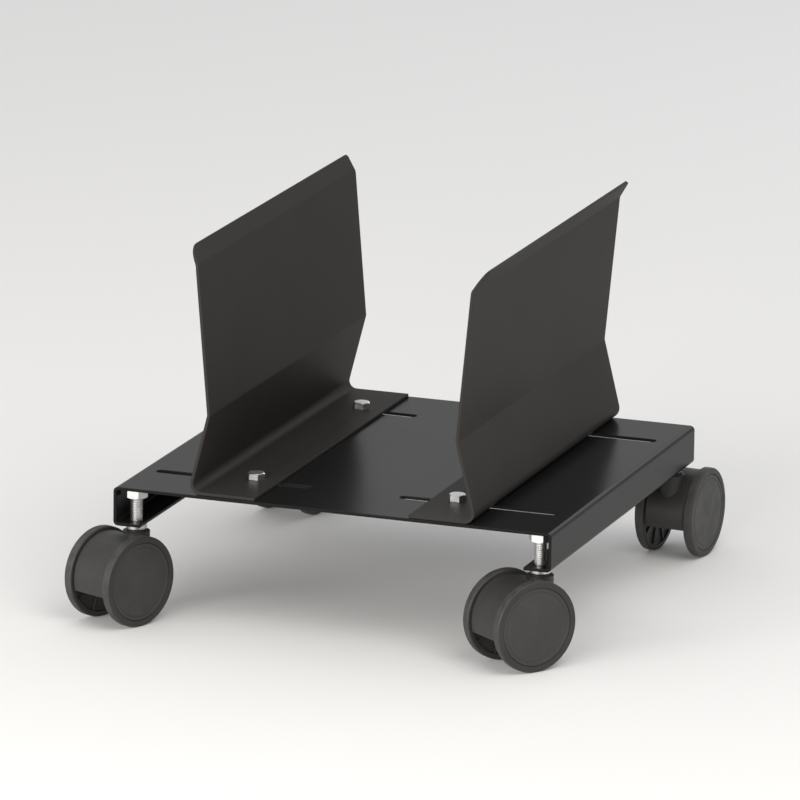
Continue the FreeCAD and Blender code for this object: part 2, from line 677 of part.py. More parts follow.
def make_cap(name, letter):
    """Flat cap that snaps into the wheel and covers the end of the axle."""
    body = new_body(f"{name}_cap_{letter}")
    revolution(body, [
        (CAP_BACK, "0"),
        (CAP_BACK, CAP_RADIUS),
        (f"{CAP_FACE} - Dims.cap_chamfer", CAP_RADIUS),
        (CAP_FACE, f"{CAP_RADIUS} - Dims.cap_chamfer"),
        (CAP_FACE, "0"),
    ], "H_Axis")
    return body


def make_caster(end_name, side_name):
    """One caster with its stem: every piece, placed at its corner of the tray."""
    name = f"{end_name}_{side_name}"
    corner = (name, SIDES[side_name], ENDS[end_name])
    at_stem = [make_stem(name), make_clip(name), make_sleeve(name), make_hood(name)]
    for body in at_stem:
        place_caster(body, *corner)
    at_axle = [make_axle(name)]
    place_caster(at_axle[0], *corner, on_axle=True)
    for letter, turned in (("a", 0), ("b", 180)):
        for body in (make_wheel(name, letter), make_cap(name, letter)):
            place_caster(body, *corner, turned=turned, on_axle=True)
            at_axle.append(body)
    return at_stem + at_axle


def make_all():
    """Every sub-part of the holder."""
    bodies = [make_tray(), make_weld_nuts()]
    for name, side in SIDES.items():
        for make in (make_bracket, make_bolts, make_washers, make_nuts):
            bodies.append(make(name, side))
    for end_name in ENDS:
        for side_name in SIDES:
            bodies += make_caster(end_name, side_name)
    return bodies


def check(bodies):
    """Stop if an object failed to build or a sub-part has no sound shape."""
    for item in doc.Objects:
        if "Invalid" in item.State or "Error" in item.State:
            raise ValueError(f"{item.Label} failed to build")
    for body in bodies:
        if body.Shape.isNull() or not body.Shape.isValid() or body.Shape.Volume <= 0:
            raise ValueError(f"{body.Label} has no sound shape")


parts = make_all()
doc.recompute()
check(parts)
os.makedirs("parts", exist_ok=True)
for part in parts:
    part.Shape.exportStep(f"parts/{part.Label}.step")
print(len(parts), "sub-parts written")
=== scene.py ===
import json
import math

import bmesh
import bpy
from mathutils import Matrix, Quaternion, Vector


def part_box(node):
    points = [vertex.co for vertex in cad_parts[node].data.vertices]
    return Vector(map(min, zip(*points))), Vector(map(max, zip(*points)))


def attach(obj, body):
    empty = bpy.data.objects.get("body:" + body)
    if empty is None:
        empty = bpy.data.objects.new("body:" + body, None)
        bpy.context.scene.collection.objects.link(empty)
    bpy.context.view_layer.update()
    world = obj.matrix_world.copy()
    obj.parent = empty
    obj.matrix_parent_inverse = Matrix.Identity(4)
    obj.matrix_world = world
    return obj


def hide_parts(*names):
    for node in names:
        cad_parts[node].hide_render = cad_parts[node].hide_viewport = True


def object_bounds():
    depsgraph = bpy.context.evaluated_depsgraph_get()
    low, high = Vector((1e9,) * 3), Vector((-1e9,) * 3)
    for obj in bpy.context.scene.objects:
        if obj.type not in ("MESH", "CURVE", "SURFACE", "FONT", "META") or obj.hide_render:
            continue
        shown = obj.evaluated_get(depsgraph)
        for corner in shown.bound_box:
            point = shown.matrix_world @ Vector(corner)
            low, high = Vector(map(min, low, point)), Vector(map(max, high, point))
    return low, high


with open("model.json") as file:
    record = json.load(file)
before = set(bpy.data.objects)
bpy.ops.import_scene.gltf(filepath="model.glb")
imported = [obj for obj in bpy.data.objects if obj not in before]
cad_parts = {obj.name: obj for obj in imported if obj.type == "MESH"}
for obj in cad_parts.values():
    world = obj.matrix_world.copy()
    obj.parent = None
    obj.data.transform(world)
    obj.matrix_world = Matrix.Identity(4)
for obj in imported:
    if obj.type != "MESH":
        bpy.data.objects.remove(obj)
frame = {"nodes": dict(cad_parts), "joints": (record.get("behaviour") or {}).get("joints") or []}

CAD_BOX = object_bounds()
MM = 0.001
AXIS_MAP = "across_axis"
SIDES = {"left": -1, "right": 1}
ENDS = {"front": -1, "rear": 1}
CORNERS = [f"{end}_{side}" for end in ENDS for side in SIDES]
JOINTS = {joint["name"]: joint for joint in frame["joints"]}

# Sizes that the frame's boxes don't give, as on the CAD parts
SHEET = 2 * MM
SHEET_EDGE = 0.3 * MM
SLIDING_GAP = 0.03 * MM
TRAY_BEND = 3 * MM
LIP_WIDTH = 18 * MM
SLOT_RADIUS = 3.5 * MM
SLOT_START = 29 * MM
SLOT_MARGIN = 11 * MM
STEM_HOLE_RADIUS = 4.5 * MM

BRACKET_FOLD = 96 * MM
CREASE_LEAN = 13 * MM
CREASE_HEIGHT = 52 * MM
SHOULDER_LEAN = 8.5 * MM
SHOULDER_HEIGHT = 147 * MM
EDGE_FLARE = 6 * MM
BRACKET_HEIGHT = 157.5 * MM
FOLD_BEND = 7 * MM
CREASE_BEND = 4 * MM
FRONT_CORNER = 16 * MM
REAR_CORNER = 3 * MM
BOLT_HOLE_RADIUS = 3.3 * MM

BOLT_RADIUS = 3 * MM
BOLT_PITCH = 1 * MM
BOLT_ACROSS = 10 * MM
WELD_NUT_ACROSS = 13 * MM
STEM_RADIUS = 4 * MM
STEM_PITCH = 1.25 * MM
COLLAR_RADIUS = 6.5 * MM
COLLAR_HEIGHT = 3.6 * MM
GROOVE_RADIUS = 3 * MM
GROOVE_WIDTH = 1 * MM
SPINDLE_END = 2 * MM

WHEEL_RADIUS = 29 * MM
TREAD_EDGE = 1.2 * MM
RIM_INNER_FACE = 13.9 * MM
RIM_OUTER_FACE = 19.9 * MM
RIM_RADIUS = 25.5 * MM
HUB_FACE = 5.6 * MM
HUB_RADIUS = 7 * MM
AXLE_BORE = 3.05 * MM
DISC_FACE = 15.6 * MM
CAP_SEAT = 24.9 * MM
CAP_RADIUS = 24.75 * MM
CAP_BACK = 18.1 * MM
CAP_FACE = 19.7 * MM
CAP_EDGE = 0.5 * MM
CAP_DISH = 0.1 * MM
CAP_MIDDLE = 2 * MM
RING_INSET = 2.6 * MM
RING_HALF = 0.5 * MM
RING_DEPTH = 0.35 * MM
RIB_COUNT = 10
RIB_THICKNESS = 1.2 * MM
RIB_SETBACK = 0.6 * MM
RIB_OVERLAP = 0.4 * MM
RIB_SUNK = 0.3 * MM

# Shares of a screw thread's pitch, of its radius and of a hexagon's width
THREAD_DEPTH = 0.6
THREAD_CREST = 0.15
THREAD_ROOT_START = 0.5
THREAD_ROOT_END = 0.65
THREAD_RUN_OUT = 0.2
NUT_BORE = 0.9
HEXAGON_CONE = 0.475

# Slope in degrees of a hexagon's cut corners, and the widened ends of a nut's bore
HEXAGON_CONE_ANGLE = 30
NUT_LEAD = 0.4 * MM

# Number of steps round an outline or along an arc
WHEEL_STEPS = 120
HEXAGON_STEPS = 72
ROUND_STEPS = 64
HOLE_STEPS = 32
THREAD_STEPS = 24
CORNER_STEPS = 14
TRAY_BEND_STEPS = 8
BRACKET_BEND_STEPS = 10

# Degrees between two faces from which their edge is drawn sharp, or is rounded
ROUND_SHARP = 35
FASTENER_SHARP = 25
EDGE_ANGLE = 50

# Distances that count as none
ON_THE_MARK = 1e-7
SAME_PLACE = 1e-6

# Linear colours
TRAY_BLACK = (0.0095, 0.0093, 0.0092)
BRACKET_BLACK = (0.0310, 0.0282, 0.0264)
SLEEVE_BLACK = (0.018, 0.018, 0.019)
HOOD_BLACK = (0.024, 0.0233, 0.0223)
WHEEL_BLACK = (0.0250, 0.0244, 0.0234)
CAP_BLACK = (0.0325, 0.0318, 0.0308)
DUST = (0.09, 0.088, 0.085)
FLECK = (0.17, 0.165, 0.155)
SCUFF = (0.17, 0.165, 0.16)
RUBBED = (0.10, 0.095, 0.088)
ZINC = ((0.64, 0.645, 0.65), (0.80, 0.795, 0.775))
STEEL = ((0.10, 0.10, 0.105), (0.22, 0.22, 0.225))
FLOOR = ((0.77, 0.765, 0.755), (0.80, 0.795, 0.785))
SURROUNDINGS = (0.985, 0.99, 1.0, 1)

# Range that most of a noise's values lie in
NOISE = (0.3, 0.7)

# How far the floor reaches to every side, in metres
FLOOR_REACH = 40


# ---------------------------------------------------------------- outlines

def rounded(points, radii, steps):
    """Line of 2-D points where the corners that have a radius are turned into arcs."""
    line = []
    for number, point in enumerate(points):
        corner = Vector(point)
        radius = radii.get(number, 0)
        if not radius:
            line.append(corner)
            continue
        before = (Vector(points[number - 1]) - corner).normalized()
        after = (Vector(points[(number + 1) % len(points)]) - corner).normalized()
        half = before.angle(after) / 2
        centre = corner + (before + after).normalized() * (radius / math.sin(half))
        start = corner + before * (radius / math.tan(half)) - centre
        end = corner + after * (radius / math.tan(half)) - centre
        sweep = -start.angle_signed(end)
        line += [centre + Matrix.Rotation(sweep * step / steps, 2) @ start for step in range(steps + 1)]
    return line


def arc(centre, radius, start, sweep, steps):
    """Points of an arc, with its angles in degrees."""
    line = []
    for step in range(steps + 1):
        angle = math.radians(start + sweep * step / steps)
        line.append(Vector((centre[0] + radius * math.cos(angle), centre[1] + radius * math.sin(angle))))
    return line


def circle(centre, radius):
    """Points of a round hole."""
    return arc(centre, radius, 0, 360, HOLE_STEPS)[:-1]


class Fold:
    """Face of a bent sheet seen end on: a line of 2-D points, and the sheet's thickness to its left."""

    def __init__(self, points):
        self.points = points
        self.marks = [0.0]
        for before, after in zip(points, points[1:]):
            self.marks.append(self.marks[-1] + (after - before).length)
        ways = [(after - before).normalized() for before, after in zip(points, points[1:])]
        self.lefts = [Vector((-way.y, way.x)) for way in ways]

    @property
    def length(self):
        return self.marks[-1]

    def unrolled(self, target):
        """Distance along the line to the place nearest to a point."""
        best = None
        for number, (before, after) in enumerate(zip(self.points, self.points[1:])):
            step = after - before
            share = max(0, min(1, (Vector(target) - before).dot(step) / step.length_squared))
            gap = (before + step * share - Vector(target)).length
            if best is None or gap < best[0]:
                best = gap, self.marks[number] + step.length * share
        return best[1]

    def bent(self, distance, depth):
        """Where a place on the flat sheet comes to lie, depth into the thickness."""
        last = len(self.lefts) - 1
        number = 0
        while number < last and distance > self.marks[number + 1] + ON_THE_MARK:
            number += 1
        left = self.lefts[number]
        # On a mark both stretches lean the same way, so that the sheet keeps its thickness
        if number < last and abs(distance - self.marks[number + 1]) <= ON_THE_MARK:
            after = self.lefts[number + 1]
            left = (left + after) / (1 + left.dot(after))
        start, end = self.points[number], self.points[number + 1]
        share = (distance - self.marks[number]) / (self.marks[number + 1] - self.marks[number])
        return start.lerp(end, share) + left * depth


# ---------------------------------------------------------------- meshes

def piece(name, bm, body, nodes, material, place=Matrix.Identity(4), sharp=ROUND_SHARP):
    """Turn a bmesh into a piece that rides on a body and stands for CAD nodes.

    Its material can read the distance from the bmesh's Z axis through the map of the first two axes.
    """
    bmesh.ops.recalc_face_normals(bm, faces=bm.faces)
    if bm.calc_volume(signed=True) < 0:
        bmesh.ops.reverse_faces(bm, faces=bm.faces)
    across = bm.loops.layers.uv.new(AXIS_MAP)
    for face in bm.faces:
        for corner in face.loops:
            corner[across].uv = corner.vert.co.xy
    mesh = bpy.data.meshes.new(name)
    bm.to_mesh(mesh)
    bm.free()
    mesh.transform(place)
    mesh.shade_smooth()
    mesh.set_sharp_from_angle(angle=math.radians(sharp))
    mesh.materials.append(material)
    obj = bpy.data.objects.new(name, mesh)
    bpy.context.scene.collection.objects.link(obj)
    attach(obj, body)
    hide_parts(*nodes)
    return obj


def even_shading(obj):
    """Shade the flats flat and let only the narrow faces between them turn the light."""
    weighted = obj.modifiers.new("Flat faces lead", "WEIGHTED_NORMAL")
    weighted.keep_sharp = True


def soften_edges(obj, width):
    """Round the edges of a piece."""
    bevel = obj.modifiers.new("Soft edges", "BEVEL")
    bevel.width = width
    bevel.segments = 3
    bevel.limit_method = "ANGLE"
    bevel.angle_limit = math.radians(EDGE_ANGLE)
    bevel.use_clamp_overlap = False
    even_shading(obj)


def bent_sheet(fold, outline, holes, thickness):
    """Bmesh of a sheet cut flat, with x along the fold and y across it, and then bent."""
    bm = bmesh.new()
    edges = []
    for line in [outline] + holes:
        verts = [bm.verts.new((point[0], point[1], 0)) for point in line]
        edges += [bm.edges.new((verts[number - 1], verts[number])) for number in range(len(verts))]
    bmesh.ops.triangle_fill(bm, use_beauty=True, edges=edges, normal=(0, 0, 1))
    for mark in fold.marks[1:-1]:
        every = bm.verts[:] + bm.edges[:] + bm.faces[:]
        bmesh.ops.bisect_plane(bm, geom=every, dist=SAME_PLACE, plane_co=(mark, 0, 0), plane_no=(1, 0, 0))
    made = bmesh.ops.extrude_face_region(bm, geom=bm.faces[:], use_keep_orig=True)
    for vert in made["geom"]:
        if isinstance(vert, bmesh.types.BMVert):
            vert.co.z = thickness
    for vert in bm.verts:
        point = fold.bent(vert.co.x, vert.co.z)
        vert.co = (point.x, vert.co.y, point.y)
    return bm


def ring(bm, steps, radius, height):
    """Round of vertices. Radius and height are numbers or functions of the angle."""
    made = []
    for step in range(steps):
        angle = math.tau * step / steps
        reach = radius(angle) if callable(radius) else radius
        level = height(angle) if callable(height) else height
        made.append(bm.verts.new((reach * math.cos(angle), reach * math.sin(angle), level)))
    return made


def join_rings(bm, rings, closed):
    """Quads between one ring and the next, and n-sided ends where the rings don't close."""
    pairs = list(zip(rings, rings[1:]))
    if closed:
        pairs.append((rings[-1], rings[0]))
    for first, second in pairs:
        for number in range(len(first)):
            bm.faces.new((first[number - 1], first[number], second[number], second[number - 1]))
    if not closed:
        bm.faces.new(rings[0])
        bm.faces.new(rings[-1])


def lathe(bm, profile, steps, closed=True):
    """Turn a line of (radius, height) points about the Z axis."""
    join_rings(bm, [ring(bm, steps, point[0], point[1]) for point in profile], closed)


def hexagon(across):
    """Function that gives a hexagon's radius at an angle. Two of its corners lie on the X axis."""
    sector = math.pi / 3
    return lambda angle: across / 2 / math.cos(angle % sector - sector / 2)


def hex_block(bm, across, bottom, top, bore, both_ends):
    """Hexagon with its corners cut by a flat cone at the top, or at both ends, and a bore if it has one."""
    flat = across * HEXAGON_CONE
    corner = hexagon(across)
    slope = math.tan(math.radians(HEXAGON_CONE_ANGLE))

    def low_edge(angle):
        return bottom + (corner(angle) - flat) * slope

    def high_edge(angle):
        return top - (corner(angle) - flat) * slope

    levels = []
    if bore:
        levels.append((bore, bottom + NUT_LEAD))
        levels.append((bore + NUT_LEAD, bottom))
    if both_ends:
        levels.append((flat, bottom))
        levels.append((corner, low_edge))
    else:
        levels.append((corner, bottom))
    levels.append((corner, high_edge))
    levels.append((flat, top))
    if bore:
        levels.append((bore + NUT_LEAD, top))
        levels.append((bore, top - NUT_LEAD))
    lathe(bm, levels, HEXAGON_STEPS, bool(bore))


def thread(bm, radius, pitch, bottom, top):
    """Closed length of screw thread, with its ends run out to the root."""
    root = radius - THREAD_DEPTH * pitch
    run_out = THREAD_RUN_OUT * pitch
    profile = [(0, radius), (THREAD_CREST, radius), (THREAD_ROOT_START, root), (THREAD_ROOT_END, root)]
    turns = math.ceil((top - bottom) / pitch) + 1
    columns = []
    for step in range(THREAD_STEPS):
        angle = math.tau * step / THREAD_STEPS
        column = []
        for turn in range(-1, turns + 1):
            for phase, outside in profile:
                level = bottom + (turn + phase + step / THREAD_STEPS) * pitch
                reach = outside if bottom + run_out < level < top - run_out else root
                level = max(bottom, min(top, level))
                column.append(bm.verts.new((reach * math.cos(angle), reach * math.sin(angle), level)))
        columns.append(column)
    # The last column meets the first one a turn further up
    for number, column in enumerate(columns):
        last = number == THREAD_STEPS - 1
        shift = len(profile) if last else 0
        after = columns[0 if last else number + 1]
        for row in range(len(column) - 1 - len(profile)):
            bm.faces.new((column[row], after[row + shift], after[row + shift + 1], column[row + 1]))
    bmesh.ops.remove_doubles(bm, verts=bm.verts, dist=SAME_PLACE)
    bmesh.ops.dissolve_degenerate(bm, dist=SAME_PLACE, edges=bm.edges)
    loose = [vert for vert in bm.verts if not vert.link_faces]
    bmesh.ops.delete(bm, geom=loose, context="VERTS")
    bmesh.ops.holes_fill(bm, edges=[edge for edge in bm.edges if edge.is_boundary], sides=0)


def add(bm, source, place=Matrix.Identity(4)):
    """Add a copy of another bmesh at a place, and free that other one."""
    mesh = bpy.data.meshes.new("Part of a piece")
    source.to_mesh(mesh)
    source.free()
    mesh.transform(place)
    bm.from_mesh(mesh)
    bpy.data.meshes.remove(mesh)


def solid(maker, *arguments):
    """New bmesh filled by a function that adds to one."""
    bm = bmesh.new()
    maker(bm, *arguments)
    return bm


# ---------------------------------------------------------------- materials

class Graph:
    """Node material round one Principled shader."""

    def __init__(self, name):
        self.material = bpy.data.materials.new(name)
        self.material.use_nodes = True
        self.nodes = self.material.node_tree.nodes
        self.links = self.material.node_tree.links
        self.shader = self.nodes["Principled BSDF"]
        self.place = self.nodes.new("ShaderNodeTexCoord").outputs["Object"]

    def set(self, name, number):
        """Constant straight on one of the shader's sockets."""
        self.shader.inputs[name].default_value = number

    def noise(self, scale, detail, stretch=None, distortion=0.0):
        """Noise with a size in features per metre, from 0 to 1."""
        node = self.nodes.new("ShaderNodeTexNoise")
        node.inputs["Scale"].default_value = scale
        node.inputs["Detail"].default_value = detail
        node.inputs["Distortion"].default_value = distortion
        source = self.place
        if stretch:
            mapping = self.nodes.new("ShaderNodeMapping")
            mapping.inputs["Scale"].default_value = stretch
            self.links.new(source, mapping.inputs["Vector"])
            source = mapping.outputs["Vector"]
        self.links.new(source, node.inputs["Vector"])
        return node.outputs["Fac"]

    def cells(self, scale):
        """Distance to the middle of the nearest cell, for pebbled surfaces."""
        node = self.nodes.new("ShaderNodeTexVoronoi")
        node.inputs["Scale"].default_value = scale
        self.links.new(self.place, node.inputs["Vector"])
        return node.outputs["Distance"]

    def spread(self, factor, low, high, to_low=0.0, to_high=1.0):
        """Stretch a factor from low..high to another range."""
        node = self.nodes.new("ShaderNodeMapRange")
        node.inputs["From Min"].default_value = low
        node.inputs["From Max"].default_value = high
        node.inputs["To Min"].default_value = to_low
        node.inputs["To Max"].default_value = to_high
        self.links.new(factor, node.inputs["Value"])
        return node.outputs["Result"]

    def combine(self, operation, first, second):
        """Arithmetic on two factors, or on a factor and a number."""
        node = self.nodes.new("ShaderNodeMath")
        node.operation = operation
        for socket, source in zip(node.inputs, (first, second)):
            if isinstance(source, (int, float)):
                socket.default_value = source
            else:
                self.links.new(source, socket)
        return node.outputs["Value"]

    def mix(self, factor, first, second):
        """Colour between two colours, each a tuple or another node's colour."""
        node = self.nodes.new("ShaderNodeMix")
        node.data_type = "RGBA"
        self.links.new(factor, node.inputs["Factor"])
        # Inputs 6 and 7 and output 2 are the ones for colours
        for socket, source in zip((node.inputs[6], node.inputs[7]), (first, second)):
            if isinstance(source, tuple):
                socket.default_value = (*source, 1)
            else:
                self.links.new(source, socket)
        return node.outputs[2]

    def use(self, name, source):
        """Drive one of the shader's sockets."""
        self.links.new(source, self.shader.inputs[name])

    def source(self, name):
        """What drives one of the shader's sockets so far."""
        return self.shader.inputs[name].links[0].from_socket

    def bump(self, height, depth, strength):
        """Fine relief of a depth in metres, on top of any relief made before."""
        node = self.nodes.new("ShaderNodeBump")
        node.inputs["Distance"].default_value = depth
        node.inputs["Strength"].default_value = strength
        self.links.new(height, node.inputs["Height"])
        if self.shader.inputs["Normal"].is_linked:
            self.links.new(self.source("Normal"), node.inputs["Normal"])
        self.links.new(node.outputs["Normal"], self.shader.inputs["Normal"])

    def from_axis(self):
        """Distance from the axis that the piece was turned about."""
        across_axis = self.nodes.new("ShaderNodeUVMap")
        across_axis.uv_map = AXIS_MAP
        split = self.nodes.new("ShaderNodeSeparateXYZ")
        self.links.new(across_axis.outputs["UV"], split.inputs["Vector"])
        squares = [self.combine("MULTIPLY", split.outputs[axis], split.outputs[axis]) for axis in "XY"]
        return self.combine("POWER", self.combine("ADD", *squares), 0.5)

    def rings(self, radius, scale):
        """Noise that changes only with a distance from an axis."""
        node = self.nodes.new("ShaderNodeTexNoise")
        node.noise_dimensions = "1D"
        node.inputs["Scale"].default_value = scale
        self.links.new(radius, node.inputs["W"])
        return node.outputs["Fac"]


def shades(tone, change):
    """A tone made darker and lighter by a share of itself."""
    return [tuple(part * (1 + way * change) for part in tone) for way in (-1, 1)]


def powder_coat(name, tone, roughness, shine):
    """Black powder coat with a slight orange peel, slow changes of gloss and a few specks of dust."""
    graph = Graph(name)
    cloud = graph.spread(graph.noise(scale=9, detail=3), low=0.35, high=0.65)
    dots = graph.spread(graph.noise(scale=1700, detail=0), low=0.80, high=0.86)
    specks = graph.combine("MULTIPLY", dots, 0.2)
    graph.use("Base Color", graph.mix(specks, graph.mix(cloud, *shades(tone, 0.06)), DUST))
    haze = graph.noise(scale=11, detail=2)
    graph.use("Roughness", graph.spread(haze, *NOISE, to_low=roughness - 0.012, to_high=roughness + 0.012))
    graph.set("Specular IOR Level", shine)
    graph.bump(graph.noise(scale=900, detail=0), depth=0.012 * MM, strength=0.25)
    return graph.material


def zinc_plate():
    """Bright zinc plating, slightly clouded, with the faint lines left by turning and pressing."""
    graph = Graph("zinc_plate")
    graph.set("Metallic", 1.0)
    cloud = graph.spread(graph.noise(scale=160, detail=4), *NOISE)
    graph.use("Base Color", graph.mix(cloud, *ZINC))
    haze = graph.noise(scale=420, detail=3)
    graph.use("Roughness", graph.spread(haze, *NOISE, to_low=0.3, to_high=0.42))
    lines = graph.noise(scale=500, detail=1, stretch=(0.2, 0.2, 5))
    graph.bump(lines, depth=0.008 * MM, strength=0.25)
    return graph.material


def spring_steel():
    """Phosphated spring steel, dark and matt with lighter rubbed spots."""
    graph = Graph("spring_steel")
    graph.set("Metallic", 1.0)
    spots = graph.spread(graph.noise(scale=700, detail=3), low=0.45, high=0.7)
    graph.use("Base Color", graph.mix(spots, *STEEL))
    haze = graph.noise(scale=900, detail=2)
    graph.use("Roughness", graph.spread(haze, *NOISE, to_low=0.35, to_high=0.5))
    graph.bump(graph.noise(scale=1800, detail=2), depth=0.015 * MM, strength=0.4)
    return graph.material


def moulded(name, tone, grain, roughness, dusty=0.0):
    """Moulded nylon with a fine grain and slow changes of tone, rougher where it has been handled."""
    graph = Graph(name)
    cloud = graph.spread(graph.noise(scale=38, detail=4), *NOISE)
    dots = graph.spread(graph.noise(scale=1900, detail=2), low=0.55, high=0.75)
    flecks = graph.combine("MULTIPLY", dots, 0.12 + dusty)
    graph.use("Base Color", graph.mix(flecks, graph.mix(cloud, *shades(tone, 0.14)), FLECK))
    graph.set("Specular IOR Level", 0.35)
    handled = graph.noise(scale=90, detail=5, distortion=0.5)
    graph.use("Roughness", graph.spread(handled, *NOISE, to_low=roughness, to_high=roughness + 0.12))
    graph.bump(graph.cells(grain), depth=0.03 * MM, strength=0.45)
    graph.bump(graph.noise(scale=grain * 1.7, detail=2), depth=0.02 * MM, strength=0.4)
    return graph


def wheel_plastic():
    """Moulded wheel whose tread is rubbed and dusty."""
    graph = moulded("wheel_plastic", WHEEL_BLACK, grain=1500, roughness=0.44)
    tread = graph.spread(graph.from_axis(), low=WHEEL_RADIUS - 0.5 * MM, high=WHEEL_RADIUS - 0.1 * MM)
    marks = graph.spread(graph.noise(scale=150, detail=6, distortion=0.3), low=0.3, high=0.75)
    rubbed = graph.combine("MULTIPLY", tread, marks)
    paler, rougher = (graph.combine("MULTIPLY", rubbed, share) for share in (0.35, 0.2))
    graph.use("Base Color", graph.mix(paler, graph.source("Base Color"), RUBBED))
    graph.use("Roughness", graph.combine("ADD", graph.source("Roughness"), rougher))
    return graph.material


def cap_plastic():
    """Moulded cap with faint scuffs that run round it."""
    graph = moulded("cap_plastic", CAP_BLACK, grain=1700, roughness=0.42)
    rings = graph.spread(graph.rings(graph.from_axis(), scale=2600), low=0.6, high=0.72)
    patches = graph.spread(graph.noise(scale=75, detail=3), low=0.45, high=0.65)
    scuffs = graph.combine("MULTIPLY", graph.combine("MULTIPLY", rings, patches), 0.16)
    graph.use("Base Color", graph.mix(scuffs, graph.source("Base Color"), SCUFF))
    return graph.material


def floor_paint():
    """Pale seamless floor."""
    graph = Graph("studio_floor")
    graph.use("Base Color", graph.mix(graph.noise(scale=0.6, detail=3), *FLOOR))
    graph.set("Roughness", 0.75)
    graph.set("Specular IOR Level", 0.25)
    return graph.material


TRAY_COAT = powder_coat("tray_coat", TRAY_BLACK, roughness=0.24, shine=0.07)
BRACKET_COAT = powder_coat("bracket_coat", BRACKET_BLACK, roughness=0.5, shine=0.052)
ZINC_PLATE = zinc_plate()
SPRING_STEEL = spring_steel()
SLEEVE_PLASTIC = moulded("sleeve_plastic", SLEEVE_BLACK, grain=1800, roughness=0.34).material
HOOD_PLASTIC = moulded("hood_plastic", HOOD_BLACK, grain=1400, roughness=0.44, dusty=0.05).material
WHEEL_PLASTIC = wheel_plastic()
CAP_PLASTIC = cap_plastic()


# ---------------------------------------------------------------- sheet-metal pieces

def make_tray():
    """Tray with flanges down both sides, lips turned in under them, and slots across its top."""
    low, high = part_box("base_tray")
    side, depth, top, bottom = high.x, high.y, high.z, low.z
    inner = side - LIP_WIDTH
    corners = [(inner, bottom), (side, bottom), (side, top), (-side, top), (-side, bottom), (-inner, bottom)]
    fold = Fold(rounded(corners, dict.fromkeys(range(1, 5), TRAY_BEND), TRAY_BEND_STEPS))
    outline = [(0, -depth), (fold.length, -depth), (fold.length, depth), (0, depth)]
    holes = []
    bolt_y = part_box("right_bracket_bolts")[1].y - BOLT_ACROSS / 2
    for side_sign in SIDES.values():
        first, last = SLOT_START + SLOT_RADIUS, side - SLOT_MARGIN - SLOT_RADIUS
        ends = sorted(fold.unrolled((side_sign * x, top)) for x in (first, last))
        for y in (-bolt_y, bolt_y):
            right = arc((ends[1], y), SLOT_RADIUS, -90, 180, CORNER_STEPS)
            left = arc((ends[0], y), SLOT_RADIUS, 90, 180, CORNER_STEPS)
            holes.append(right + left)
    for corner in CORNERS:
        x, y, _ = JOINTS[f"{corner}_swivel"]["pos_m"]
        holes.append(circle((fold.unrolled((x, bottom)), y), STEM_HOLE_RADIUS))
    bm = bent_sheet(fold, outline, holes, SHEET)
    obj = piece("base_tray_sheet", bm, "tray", ["base_tray"], TRAY_COAT)
    soften_edges(obj, SHEET_EDGE)


def make_bracket(side):
    """Bracket with a foot turned in, a panel that leans in and then out, and a flared top edge."""
    node = f"{side}_bracket"
    sign = SIDES[side]
    low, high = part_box(node)
    depth = high.y
    base = low.z + SLIDING_GAP
    free_edge = min(low.x * sign, high.x * sign)
    crease_x = BRACKET_FOLD - CREASE_LEAN
    shoulder_x = crease_x + SHOULDER_LEAN
    corners = [
        (free_edge, base),
        (BRACKET_FOLD, base),
        (crease_x, low.z + CREASE_HEIGHT),
        (shoulder_x, low.z + SHOULDER_HEIGHT),
        (shoulder_x + EDGE_FLARE, low.z + BRACKET_HEIGHT),
    ]
    bends = {1: FOLD_BEND, 2: CREASE_BEND, 3: CREASE_BEND}
    fold = Fold(rounded(corners, bends, BRACKET_BEND_STEPS))
    plain = [(0, -depth), (fold.length, -depth), (fold.length, depth), (0, depth)]
    outline = rounded(plain, {1: FRONT_CORNER, 2: REAR_CORNER}, CORNER_STEPS)
    bolt_low, bolt_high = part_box(f"{side}_bracket_bolts")
    bolt_x = abs(bolt_low.x + bolt_high.x) / 2
    bolt_y = bolt_high.y - BOLT_ACROSS / 2
    holes = []
    for y in (-bolt_y, bolt_y):
        holes.append(circle((fold.unrolled((bolt_x, base)), y), BOLT_HOLE_RADIUS))
    bm = bent_sheet(fold, outline, holes, SHEET)
    for vert in bm.verts:
        vert.co.x *= sign
    obj = piece(f"{node}_sheet", bm, node, [node], BRACKET_COAT)
    soften_edges(obj, SHEET_EDGE)


# ---------------------------------------------------------------- fasteners

def bolt_axes(side):
    """Place of a bracket's front and rear bolt."""
    low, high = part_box(f"{side}_bracket_bolts")
    x = (low.x + high.x) / 2
    y = high.y - BOLT_ACROSS / 2
    return {end: Matrix.Translation((x, way * y, 0)) for end, way in ENDS.items()}


def fastener(name, side, maker, *arguments):
    """A fastener of one kind at the front and at the rear of a bracket."""
    body = f"{side}_bracket"
    node = f"{body}_{name}s"
    for end, place in bolt_axes(side).items():
        bm = solid(maker, *arguments)
        piece(f"{body}_{name}_{end}", bm, body, [node], ZINC_PLATE, place, FASTENER_SHARP)


def bolt(bm, top, head_bottom, end):
    """Hexagon head on a fully threaded shank."""
    add(bm, solid(thread, BOLT_RADIUS, BOLT_PITCH, end, head_bottom))
    add(bm, solid(hex_block, BOLT_ACROSS, head_bottom, top, 0, False))


def washer(bm, bottom, top, radius):
    """Flat ring with slightly rounded edges."""
    edge = 0.25 * MM
    corners = [(BOLT_HOLE_RADIUS, bottom), (radius, bottom), (radius, top), (BOLT_HOLE_RADIUS, top)]
    lathe(bm, rounded(corners, dict.fromkeys(range(4), edge), steps=3), ROUND_STEPS)


